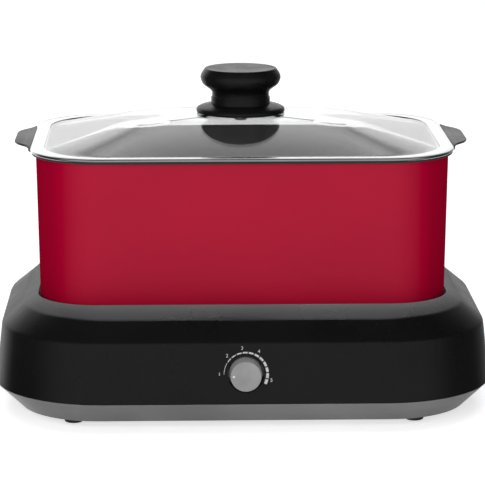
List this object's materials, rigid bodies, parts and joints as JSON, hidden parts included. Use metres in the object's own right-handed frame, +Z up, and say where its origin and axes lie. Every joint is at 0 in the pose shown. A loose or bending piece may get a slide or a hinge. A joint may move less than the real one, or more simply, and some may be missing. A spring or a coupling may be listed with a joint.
{
  "type": "slow cooker",
  "caption": "Oblong slow cooker: heated plastic base with a control dial, a lift-out enamelled vessel with end tabs, and a domed glass lid with a steel rim and a knob.",
  "frame": {"origin": "on the surface that the feet stand on, under the middle of the whole object's box", "axes": "+X to the right seen from the dial side, +Y towards the mains inlet at the back, +Z up"},
  "size_m": [0.3446, 0.2856, 0.2297],
  "materials": {
    "shell_black": "satin moulded polypropylene, fine even grain",
    "tray_grey": "satin moulded polypropylene",
    "foot_rubber": "matt moulded rubber",
    "zinc_steel": "bright zinc plate",
    "cast_plate": "cast aluminium with dark non-stick coating",
    "heater_sheath": "heat-blued steel sheath",
    "nickel_pin": "nickel plate",
    "shield_sheet": "mill-finish sheet",
    "ceramic": "glazed electrical ceramic",
    "brass_fitting": "plain brass",
    "gland_black": "moulded nylon",
    "block_nylon": "natural nylon",
    "fuse_case": "tinned case",
    "wire_brown": "silicone-rubber insulation",
    "wire_blue": "silicone-rubber insulation",
    "wire_green": "silicone-rubber insulation",
    "vessel_coat": "satin enamel outside, dark non-stick inside and on the flange",
    "rim_steel": "polished stainless steel",
    "lid_glass": "clear tempered glass",
    "knob_black": "satin phenolic moulding",
    "silicone": "silicone rubber",
    "dial_grey": "satin moulded grey",
    "pointer_white": "light inlay"
  },
  "bodies": {
    "root": {"base_shell": "shell_black", "base_tray": "tray_grey", "foot_front_left": "foot_rubber", "foot_front_right": "foot_rubber", "foot_rear_left": "foot_rubber", "foot_rear_right": "foot_rubber", "tray_screws": "zinc_steel", "heating_plate": "cast_plate", "plate_screws": "zinc_steel", "heating_element": "heater_sheath", "element_pin_left": "nickel_pin", "element_pin_right": "nickel_pin", "heat_shield": "shield_sheet", "shield_nuts": "zinc_steel", "thermostat_body": "ceramic", "thermostat_bracket": "zinc_steel", "thermostat_nut": "brass_fitting", "bracket_screws": "zinc_steel", "bimetal_blade": "brass_fitting", "inlet_gland": "gland_black", "gland_nut": "gland_black", "terminal_block": "block_nylon", "terminal_screws": "brass_fitting", "thermal_fuse": "fuse_case", "fuse_saddle": "shield_sheet", "wire_live": "wire_brown", "wire_switched": "wire_brown", "wire_heater": "wire_brown", "wire_neutral": "wire_blue", "wire_earth": "wire_green"},
    "vessel": {"vessel": "vessel_coat"},
    "lid": {"lid_rim": "rim_steel", "lid_glass": "lid_glass", "knob_base": "knob_black", "lid_knob": "knob_black", "knob_gasket": "silicone", "knob_washer": "zinc_steel", "knob_screw": "zinc_steel"},
    "dial": {"control_dial": "dial_grey", "dial_pointer": "pointer_white", "thermostat_shaft": "zinc_steel", "hub_clip": "zinc_steel"}
  },
  "joints": [
    {"name": "vessel_lift", "type": "slide", "parent": "root", "child": "vessel", "axis": [0, 0, 1], "range_m": [0, 0.15]},
    {"name": "lid_lift", "type": "slide", "parent": "vessel", "child": "lid", "axis": [0, 0, 1], "range_m": [0, 0.12]},
    {"name": "dial_turn", "type": "hinge", "parent": "root", "child": "dial", "pos_m": [0, -0.13808, 0.042], "axis": [0, 1, 0], "range_deg": [0, 215]}
  ]
}
